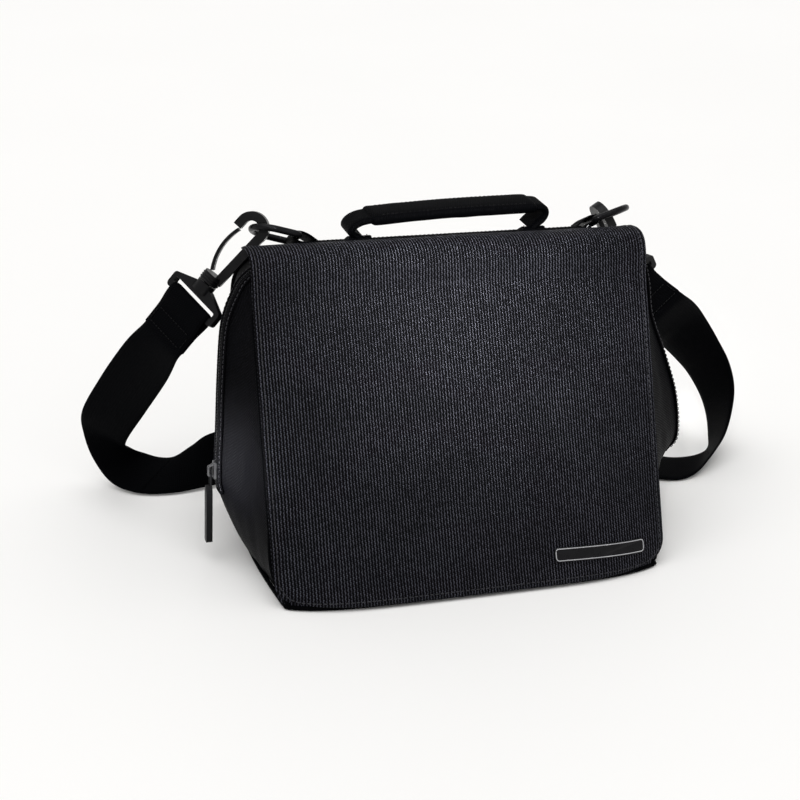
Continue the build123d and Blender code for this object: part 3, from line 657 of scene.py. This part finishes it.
edge = np.array([0, 0.6, 1.4, 2.4, 3.2, 4.0, 5.0, 6.5, 8.5, 11])
flap_x = np.concatenate([-FLAP_HALF + edge, np.linspace(-116, 116, 59), FLAP_HALF - edge[::-1]])
down = np.concatenate([np.linspace(160, 16, 49), 2.2 + edge[::-1]])
columns = []
for x in flap_x:
    face = flap_front(np.full(len(down), x), down)[:, 1:]
    top = smooth(np.column_stack([np.vstack([CROWN, face[:3]]), np.zeros(len(CROWN) + 3)]), 40)[:, :2]
    profile = np.vstack([top, face[3:]])
    columns.append(np.column_stack([np.full(len(profile), x), profile]))
flap_grid = np.stack(columns, axis=1)
from_foot = arc_length(flap_grid[:, 0])[-1] - arc_length(flap_grid[:, 0])
inset = CORNER - np.sqrt(np.maximum(CORNER**2 - (CORNER - from_foot) ** 2, 0))
inset = np.where(from_foot < CORNER, inset, 0)
flap_grid[:, :, 0] *= ((FLAP_HALF - inset) / FLAP_HALF)[:, None]
side_gap = FLAP_HALF - inset[:, None] - np.abs(flap_grid[:, :, 0])
edge_gap = np.minimum(side_gap, from_foot[:, None])
normal = grid_normals(flap_grid)
hem = 0.35 * np.clip((7.5 - edge_gap) / 1.5, 0, 1) - 0.28 * np.exp(-((edge_gap - 3.4) / 0.9) ** 2)
hem -= 0.5 * np.exp(-(edge_gap / 0.9) ** 2)
wave = 0.55 * ripple(flap_grid * vec(1, 0.6, 0.55), 60, 5.5) + 0.18 * ripple(flap_grid, 14, 9.1)
calm = np.clip(from_foot[:, None] / 30, 0.25, 1) * np.clip(side_gap / 18, 0.3, 1)
faces_back = normal[60, 40, 1] > 0
outward = -normal if faces_back else normal
flap_face = flap_grid + outward * ((hem + wave * calm)[:, :, None])
run = np.stack([arc_length(flap_grid[:, j]) for j in range(len(flap_x))], axis=1)
flap_weave = np.stack([flap_grid[:, :, 0], run, 0 * run], axis=2)
turn = slice(None, None, -1 if faces_back else 1)
cloth = flap_face[:, turn]
part = thick_sheet(cloth, 0, -1.15, flap_weave[:, turn])
flap = add("flap_cloth", part, CLOTH, None, "outer_fabric", "flap_panel")
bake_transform(flap)
part = thick_sheet(cloth[:-2, 1:-1], -1.2, -1.75)
flap_lining = add("flap_lining_cloth", part, SIDE_CLOTH, None, "lining_film", "flap_lining")
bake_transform(flap_lining)


def along_flap(gap):
    """The flap's outline, gap mm in from its edge."""
    rows_at, cols_at = flap_grid.shape[:2]
    left, right = [], []
    for i in range(6, rows_at):
        if from_foot[i] < gap:
            break
        width = FLAP_HALF - inset[i]
        if from_foot[i] < CORNER:
            r = CORNER - gap
            width = FLAP_HALF - CORNER + math.sqrt(max(r * r - (CORNER - from_foot[i]) ** 2, 0))
        else:
            width -= gap
        for store, x in ((left, -width), (right, width)):
            j = np.interp(x, flap_grid[i, :, 0], np.arange(cols_at))
            store.append([np.interp(j, np.arange(cols_at), flap_face[i, :, k]) for k in range(3)])
    low = np.interp(gap, from_foot[::-1], np.arange(rows_at)[::-1])
    i0, f = int(low), low - int(low)
    i1 = min(i0 + 1, rows_at - 1)
    row = flap_face[i0] * (1 - f) + flap_face[i1] * f
    foot = [p for p in row if abs(p[0]) < FLAP_HALF - CORNER - 0.5]
    path = np.array(left + foot + right[::-1])
    return path + vec(0, -0.06, 0.02)


flap_rows = stitches([(along_flap(3.4), vec(0, -0.92, 0.38))], 3.4, 2.4, 0.36)
thread = add("flap_stitches", flap_rows, THREAD, None, "outer_fabric")
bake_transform(thread)

# strip that covers the flap's root seam
root_x = np.linspace(-100, 100, 80)
ROOT_PROFILE = ((31.2, 200.6), (32.0, 200.95), (33.2, 200.6), (34.6, 200.2), (35.2, 199.5))
root = np.stack([np.stack([root_x, np.full(80, y), np.full(80, h)], axis=1) for y, h in ROOT_PROFILE], axis=0)
add("flap_root_tape", thick_sheet(root, 0.3, -0.5), WEB, "bag", "webbing", "flap_seam_strip")


def flap_patch(x_values, z_values, outer, depth):
    """A thin patch depth mm thick, its face outer mm off the flap's own."""
    x, h = np.meshgrid(x_values, z_values)
    p = flap_front(x, h)
    n = grid_normals(p)
    backward = n[0, 0, 1] > 0
    face = p + (-n if backward else n) * outer
    return thick_sheet(face[:, ::-1] if backward else face, 0, -depth)


for name, node, depth, body in (("closure_hooks", "closure_hook_patch", -1.85, "flap"),
                                ("closure_loops", "closure_loop_patch", -3.05, "bag")):
    part = flap_patch(np.linspace(-26, 26, 27), np.linspace(34, 54, 12), depth, 0.75)
    add(name, part, PILE, body, "hook_tape", node)

# label: a moulded patch with a thin pale rim and nothing written on it
LABEL_BOX = (50.0, 114.5, 14.3, 22.6)
LABEL_CORNER = 2.6
LABEL_DROP = 0.03             # the right end sits this much lower for each mm along it
CORNER_TURNS = [(1, 1, 0), (0, 1, 90), (0, 0, 180), (1, 0, 270)]


def label_outline(gap, samples):
    """The label's rounded outline, gap mm in from its edge, evenly spaced."""
    x0, x1, z0, z1 = LABEL_BOX
    r = LABEL_CORNER
    points = []
    for right, top, start in CORNER_TURNS:
        cx, cz = (x1 - r if right else x0 + r), (z1 - r if top else z0 + r)
        for a in np.radians(np.linspace(start, start + 90, 8)):
            points.append((cx + (r - gap) * math.cos(a), cz + (r - gap) * math.sin(a)))
    points = np.array(points + points[:1])
    points[:, 1] -= LABEL_DROP * (points[:, 0] - (x0 + x1) / 2)
    run = arc_length(points)
    at = np.linspace(0, run[-1], samples + 1)[:-1]
    return flap_front(np.interp(at, run, points[:, 0]), np.interp(at, run, points[:, 1]))


tilt = unit(vec(0, -0.9, 0.42))
per = 120
section = ((0, 0.1), (0, 1.1), (0.25, 1.35), (0.9, 1.35), (1.15, 1.15))
rings = [label_outline(gap, per) + tilt * height for gap, height in section]
verts = np.concatenate(rings)
faces = [(i * per + j, i * per + (j + 1) % per, (i + 1) * per + (j + 1) % per, (i + 1) * per + j)
         for i in range(4) for j in range(per)]
faces += [tuple(range(4 * per, 5 * per)), tuple(range(per))[::-1]]
label = build("label_patch", verts, faces, LABEL, "flap")
label.data.polygons.foreach_set("use_smooth", [False] * len(label.data.polygons))
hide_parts("flap_label")
rim = tube(label_outline(0.75, 160) + tilt * 1.34, 0.30, sides=6, closed=True)
add("label_rim", rim, LABEL_RIM, "flap", "label")

# ================================================================ webbing, ring tabs and handle
def roof(y):
    """Height of the back slope behind the flap's root."""
    return np.interp(y, [30, 40, 50, 57, 62], [199.5, 197, 190.5, 180, 160])


slope_y = np.array([37.6, 38.2, 40, 44, 48, 52, 55, 56.6, 57.2])
slope_lift = [0.4, 1.0, 1.35, 1.5, 1.6, 1.6, 1.4, 1.0, 0.4]
slope = [(y + lift * 0.5, roof(y) + lift) for y, lift in zip(slope_y, slope_lift)]
web_x = np.linspace(-86, 100, 94)
web_grid = np.stack([np.stack([web_x, np.full(94, y), np.full(94, h)], axis=1) for y, h in slope], axis=0)
web_grid[:, :, 2] += 0.15 * ripple(web_grid, 25, 2.2)
add("ring_webbing_band", thick_sheet(web_grid, 0.5, -1.0), WEB, "bag", "webbing", "ring_webbing")
rows = []
for y in (39.4, 55.4):
    line_y = np.stack([web_x, np.full(94, y), np.full(94, roof(y) + 1.9)], axis=1)
    rows.append((line_y[2:-2], vec(0, 0.6, 0.8)))
for x in (-84, -70, 84, 98):
    ys = np.linspace(40, 55, 12)
    rows.append((np.stack([np.full(12, x), ys + 0.8, roof(ys) + 1.95], axis=1), vec(0, 0.6, 0.8)))
add("webbing_stitches", stitches(rows, 2.8, 2.0, 0.27), STRAP_THREAD, "bag", "webbing")

BAR = unit(vec(0, 0.88, -0.47))
RING_BAR = {"left": vec(-94, 47, 199), "right": vec(108, 47, 199)}
REACH = {"left": unit(vec(-0.96, 0.133, 0.25)), "right": unit(vec(0.96, 0.133, 0.25))}
for hand in ("left", "right"):
    bar, reach = RING_BAR[hand], REACH[hand]
    lift = unit(np.cross(BAR, reach)) * (1 if hand == "left" else -1)
    lift *= np.sign(lift[2])
    path = [(-17, -4.6), (-12, -3.6), (-6, -3.2), (-1.5, -3.15), (1.8, -2.5), (3.15, 0), (1.8, 2.5),
            (-1.5, 3.15), (-6, 2.5), (-11, 0.6), (-17, -2.0)]
    line3 = smooth([bar + reach * a + lift * b for a, b in path], 64)
    part = ribbon(line3, np.broadcast_to(BAR, line3.shape), 21.4, 1.25)
    add("ring_tab_loop_" + hand, part, WEB, "bag", "webbing", "ring_tab_" + hand)
    box = []
    for a in (-9.0, -13.5):
        h = np.interp(a, [-17, -11, -6], [-2.0, 0.6, 2.5]) + 0.75
        span = np.linspace(-8.6, 8.6, 12)[:, None]
        box.append((bar + reach * a + lift * h + span * BAR, lift))
    add("ring_tab_stitches_" + hand, stitches(box, 2.7, 1.9, 0.26), STRAP_THREAD, "bag", "webbing")

HANDLE_Y = 50.0
GRIP_X, GRIP_Z, GRIP_RUN, GRIP_RISE = -45.8, 210.3, 112.6, 2.9
left_path = smooth([(x, HANDLE_Y, h) for x, h in
                    ((-51.6, 197.8), (-54.6, 199.6), (-58.4, 202.4), (-57.0, 206.0), (-52, 208.9),
                     (-45, 210.2), (-38, 210.5), (-32, 210.7))], 60)
right_path = smooth([(x, HANDLE_Y, h) for x, h in
                     ((64.6, 197.8), (67.4, 200.8), (72.0, 204.4), (74.2, 208.6), (72.6, 212.2), (68, 213.3),
                      (62, 213.2), (54, 213.0))], 60)
for hand, path, stands_for in (("left", left_path, ["handle_webbing"]), ("right", right_path, [])):
    part = ribbon(path, np.broadcast_to(vec(0, 1, 0), path.shape), 23.6, 4.4)
    leg = add("handle_leg_" + hand, part, WEB, None, "webbing", *stands_for)
    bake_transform(leg)
t = np.concatenate([[0, 0.006, 0.016], np.linspace(0.03, 0.97, 45), [0.984, 0.994, 1.0]])
grip_path = np.stack([GRIP_X + t * GRIP_RUN, np.full(len(t), HANDLE_Y),
                      GRIP_Z + t * GRIP_RISE + np.sin(t * math.pi)], axis=1)
ends = np.clip(np.minimum(t, 1 - t) / 0.02, 0, 1) ** 0.5
verts, faces, weave = rounded_box(grip_path, 11.4 + 1.9 * ends, 2.0 + 2.0 * ends, sides=28)
verts = verts + vec(0, 0, 0.3) * ripple(verts, 12, 6.6)[:, None]
grip = add("handle_grip_pad", (verts, faces, weave), WEB, "handle", "webbing", "handle_grip")
rows = [(grip_path[4:-4] + vec(0, y, 3.15), vec(0, math.copysign(0.5, y), 1)) for y in (-9.6, 9.6)]
add("grip_stitches", stitches(rows, 3.0, 2.1, 0.27), STRAP_THREAD, "handle", "webbing")

feet = []
foot_rows = []
for x0 in (-53, 66):
    xs = np.linspace(-7.5, 7.5, 11) + x0
    ys = np.array([37.8, 38.6, 41, 45, 49, 53, 56, 58, 58.8])
    lift = np.array([1.0, 2.5, 3.0, 3.2, 3.2, 3.2, 3.0, 2.5, 1.0])
    p = [np.stack([xs, np.full(11, y + 0.6 * k), np.full(11, roof(y) + k)], axis=1) for y, k in zip(ys, lift)]
    feet.append(thick_sheet(np.stack(p), 0.6, -1.2))
    for dx in (-5.6, 5.6):
        line_y = np.linspace(40, 56, 12)
        row = np.stack([np.full(12, x0 + dx), line_y + 2.1, roof(line_y) + 3.95], axis=1)
        foot_rows.append((row, vec(0, 0.6, 0.8)))
add("handle_feet", join(*feet), WEB, "bag", "webbing", "handle_anchors")
add("foot_stitches", stitches(foot_rows, 2.7, 1.9, 0.27), STRAP_THREAD, "bag", "webbing")

# ================================================================ hooks and strap
HEAD = {"left": RING_BAR["left"] + REACH["left"] * 28,
        "right": RING_BAR["right"] + BAR * 13.5 + REACH["right"] * 17.6}
AXIS = {"left": unit(vec(-0.62, 0.03, -0.785)), "right": unit(vec(0.50, 0.13, -0.857))}
ACROSS = {"left": vec(0.43, -0.83, -0.37), "right": vec(-0.80, -0.30, -0.51)}
ORIGIN, SIDEWAYS, OUTWARD = {}, {}, {}
for hand in ("left", "right"):
    axis = AXIS[hand]
    ORIGIN[hand] = HEAD[hand] + axis * 45
    SIDEWAYS[hand] = unit(ACROSS[hand] - axis * np.dot(ACROSS[hand], axis))
    OUTWARD[hand] = np.cross(SIDEWAYS[hand], -axis)


def hook_spot(hand, u, v, n):
    """A point of a hook's own frame: u across it, v from the swivel to the head, n off its plane."""
    return ORIGIN[hand] + SIDEWAYS[hand] * u - AXIS[hand] * v + OUTWARD[hand] * n


BAR_BELOW, RIGHT_BEND = 17.4, math.radians(25)


def fold_spot(hand, u, v, n):
    """A point of the sewn strap end, which on the right leans off its base about the outer bar."""
    if hand == "left":
        return hook_spot(hand, u, v, n)
    c, s = math.cos(RIGHT_BEND), math.sin(RIGHT_BEND)
    run = v + BAR_BELOW
    return hook_spot(hand, u + 0.3 * min(run + 4, 0), run * c - n * s - BAR_BELOW, run * s + n * c)


for hand in ("left", "right"):
    # ribbed collar
    ribs = []
    for v in (1.3, 3.0, 4.7):
        a = np.linspace(0, 2 * math.pi, 49)[:-1]
        circle = np.array([hook_spot(hand, 6.55 * math.cos(k), v, 6.55 * math.sin(k)) for k in a])
        ribs.append(tube(circle, 0.45, sides=8, closed=True))
    add("hook_collar_" + hand, join(*ribs), PLASTIC, "hook_" + hand, "hardware")
    # sewn end: webbing round the bar, laid on itself and stitched down
    section = [(-46.5, 0.95), (-42, 0.95), (-36, 1.0), (-31, 1.3), (-26, 2.4), (-22, 3.2), (-18.5, 3.3),
               (-15.6, 2.3), (-14.5, 0), (-15.6, -2.3), (-18.5, -3.3), (-22, -3.2), (-26, -2.4),
               (-31, -1.3), (-36, -1.0), (-42, -0.95), (-44.5, -0.95)]
    loop = smooth([fold_spot(hand, 0, v, n) for v, n in section], 90)
    part = ribbon(loop, np.broadcast_to(SIDEWAYS[hand], loop.shape), 37.6, 1.5, cols=13)
    add("strap_loop_" + hand, part, STRAP_WEB, "strap_end_" + hand, "strap_webbing", "strap_end_" + hand)
    rows = []
    for face in (-1, 1):
        for v in (-33.0, -43.5):
            proud = face * (1.95 if v < -40 else 2.0)
            span = [fold_spot(hand, u, v, proud) for u in np.linspace(-16, 16, 20)]
            rows.append((span, OUTWARD[hand] * face))
        for u in (-16, 16):
            span = [fold_spot(hand, u, v, face * 1.97) for v in np.linspace(-43.5, -33, 10)]
            rows.append((span, OUTWARD[hand] * face))
    part = stitches(rows, 2.7, 1.9, 0.27)
    add("strap_loop_stitches_" + hand, part, STRAP_THREAD, "strap_end_" + hand, "strap_webbing")

STRAP_ROUTE = [
    ((-188, 67, 111), (0.62, -0.55, -0.56)), ((-199, 86, 82), (0.74, -0.32, -0.59)),
    ((-209.5, 104, 51.5), (0.74, -0.15, -0.66)), ((-205, 116, 34), (0.90, 0.05, -0.43)),
    ((-197, 119, 20), (0.97, 0.20, -0.05)), ((-187, 114, 11), (0.90, 0.32, 0.30)),
    ((-174, 106.5, 10), (0.76, 0.48, 0.43)), ((-157, 104, 13.6), (0.50, 0.58, 0.64)),
    ((-136, 105, 18.6), (0.18, 0.45, 0.87)), ((-96, 111, 20.4), (0.0, 0.34, 0.94)),
    ((-50, 115, 23.2), (0.0, 0.30, 0.954)), ((50, 115, 23.2), (0.0, 0.30, 0.954)),
    ((85, 108.5, 20.2), (0.05, 0.38, 0.92)), ((110, 99.5, 18.0), (0.14, 0.48, 0.86)),
    ((130, 91.5, 15.4), (0.26, 0.62, 0.74)), ((147, 83, 11.2), (0.36, 0.78, 0.51)),
    ((163, 74, 6.0), (0.41, 0.88, 0.25)), ((179, 65, 2.4), (0.42, 0.90, 0.06)),
    ((194, 57.5, 1.3), (0.43, 0.90, 0.0)), ((207, 55, 1.3), (0.47, 0.88, 0.0)),
    ((221, 58, 2.9), (0.48, 0.87, -0.08)), ((234, 66, 8.0), (0.35, 0.87, -0.34)),
    ((243, 76, 15), (0.13, 0.88, -0.46)), ((248.5, 86.5, 28.5), (-0.07, 0.86, -0.51)),
    ((249, 95, 43), (-0.28, 0.80, -0.53)), ((241, 98.5, 61), (-0.47, 0.71, -0.52)),
    ((227, 96, 79), (-0.56, 0.55, -0.62)), ((211.5, 88.5, 96), (-0.66, 0.30, -0.69)),
    ((197, 75, 110), (-0.74, -0.02, -0.67)),
]
route = [np.concatenate([fold_spot("left", 0, v, 0), SIDEWAYS["left"]]) for v in (-43, -50.5)]
route += [np.concatenate([p, unit(w)]) for p, w in STRAP_ROUTE]
route += [np.concatenate([fold_spot("right", 0, v, 0), SIDEWAYS["right"]]) for v in (-50.5, -43)]
strap = smooth(route, 420)
strap_line, strap_across = strap[:, :3], unit(strap[:, 3:])
STRAP_WIDTH, STRAP_THICK = 37.8, 1.6
STRAP_CUTS = (("left", 0, 96, 60), ("middle", 95, 325, None), ("right", 324, 420, 360))
for name, first, last, still in STRAP_CUTS:
    stretch = strap_line[first:last]
    part = ribbon(stretch, strap_across[first:last], STRAP_WIDTH, STRAP_THICK, cols=13)
    if still is None:
        band = add("strap_" + name, part, STRAP_WEB, "bag", "strap_webbing", "strap_webbing")
    else:
        band = add("strap_" + name, part, STRAP_WEB, None, "strap_webbing")
        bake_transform(band)

# ================================================================ CAD hardware that keeps its shape
def paint(node, material, bevel):
    """A better material on a CAD piece, and softer edges where bevel is not 0."""
    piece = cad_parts[node]
    for slot in piece.material_slots:
        slot.link = "OBJECT"
        slot.material = material
    if bevel:
        soften = piece.modifiers.new("soft_edges", "BEVEL")
        soften.width = bevel * MM
        soften.segments = 3
        soften.limit_method = "ANGLE"
        soften.angle_limit = math.radians(32)


for hand in ("left", "right"):
    paint("d_ring_" + hand, RING, 0)
    paint("hook_body_" + hand, PLASTIC, 1.1)
    paint("hook_gate_" + hand, GATE, 0.5)
    paint("strap_base_" + hand, PLASTIC, 0.9)
paint("strap_adjuster", PLASTIC, 0.7)
paint("zipper_slider", SLIDER, 0.3)
paint("zipper_pull", PULL, 0.45)

# ================================================================ stage, light and camera
floor_mesh = bpy.data.meshes.new("floor")
FLOOR = 60                    # half its side, in metres
floor_mesh.from_pydata([(-FLOOR, -FLOOR, 0), (FLOOR, -FLOOR, 0), (FLOOR, FLOOR, 0), (-FLOOR, FLOOR, 0)],
                       [], [(0, 1, 2, 3)])
floor_mesh.materials.append(backdrop("floor_paper"))
floor = bpy.data.objects.new("floor", floor_mesh)
floor.location.z = -0.0004
bpy.context.scene.collection.objects.link(floor)

world = bpy.data.worlds.new("studio")
bpy.context.scene.world = world
world.use_nodes = True
world.node_tree.nodes["Background"].inputs["Color"].default_value = (1.0, 0.995, 0.985, 1)
world.node_tree.nodes["Background"].inputs["Strength"].default_value = 0.62


def area_light(name, place, target, size, power, colour, spread):
    """A square lamp aimed at a target."""
    light = bpy.data.lights.new(name, "AREA")
    light.shape = "SQUARE"
    light.size = size
    light.energy = power
    light.color = colour
    light.spread = math.radians(spread)
    lamp = bpy.data.objects.new(name, light)
    lamp.location = place
    lamp.rotation_euler = (Vector(target) - Vector(place)).to_track_quat("-Z", "Y").to_euler()
    bpy.context.scene.collection.objects.link(lamp)


area_light("key", (-0.30, -0.62, 0.66), (0.01, 0.0, 0.165), 0.12, 0.21, (1.0, 0.99, 0.97), 17)
area_light("side", (-0.8, -0.45, 0.20), (-0.147, -0.01, 0.072), 0.04, 0.045, (0.97, 0.98, 1.0), 6)
sun = bpy.data.lights.new("overhead", "SUN")
sun.energy = 1.45
sun.angle = math.radians(60)
overhead = bpy.data.objects.new("overhead", sun)
overhead.rotation_euler = (math.radians(10), math.radians(-14), 0)
bpy.context.scene.collection.objects.link(overhead)

TARGET = vec(-34.46, -1.95, 102.81) * MM
YAW, ELEVATION, ROLL = math.radians(18.506), math.radians(24.21), math.radians(2.99)
DISTANCE, LENS = 1.1026, 77.2
back = vec(-math.sin(YAW) * math.cos(ELEVATION), -math.cos(YAW) * math.cos(ELEVATION), math.sin(ELEVATION))
right = unit(np.cross(-back, vec(0, 0, 1)))
up = np.cross(right, -back)
camera_x = right * math.cos(ROLL) + up * math.sin(ROLL)
camera_y = up * math.cos(ROLL) - right * math.sin(ROLL)
camera = bpy.data.objects.new("camera", bpy.data.cameras.new("camera"))
camera.data.lens = LENS
camera.data.sensor_width = 36
rotation = Matrix([[camera_x[i], camera_y[i], back[i]] for i in range(3)]).to_4x4()
camera.matrix_world = Matrix.Translation(Vector(TARGET + back * DISTANCE)) @ rotation
bpy.context.scene.collection.objects.link(camera)
bpy.context.scene.camera = camera
bpy.context.scene.view_settings.view_transform = "Standard"
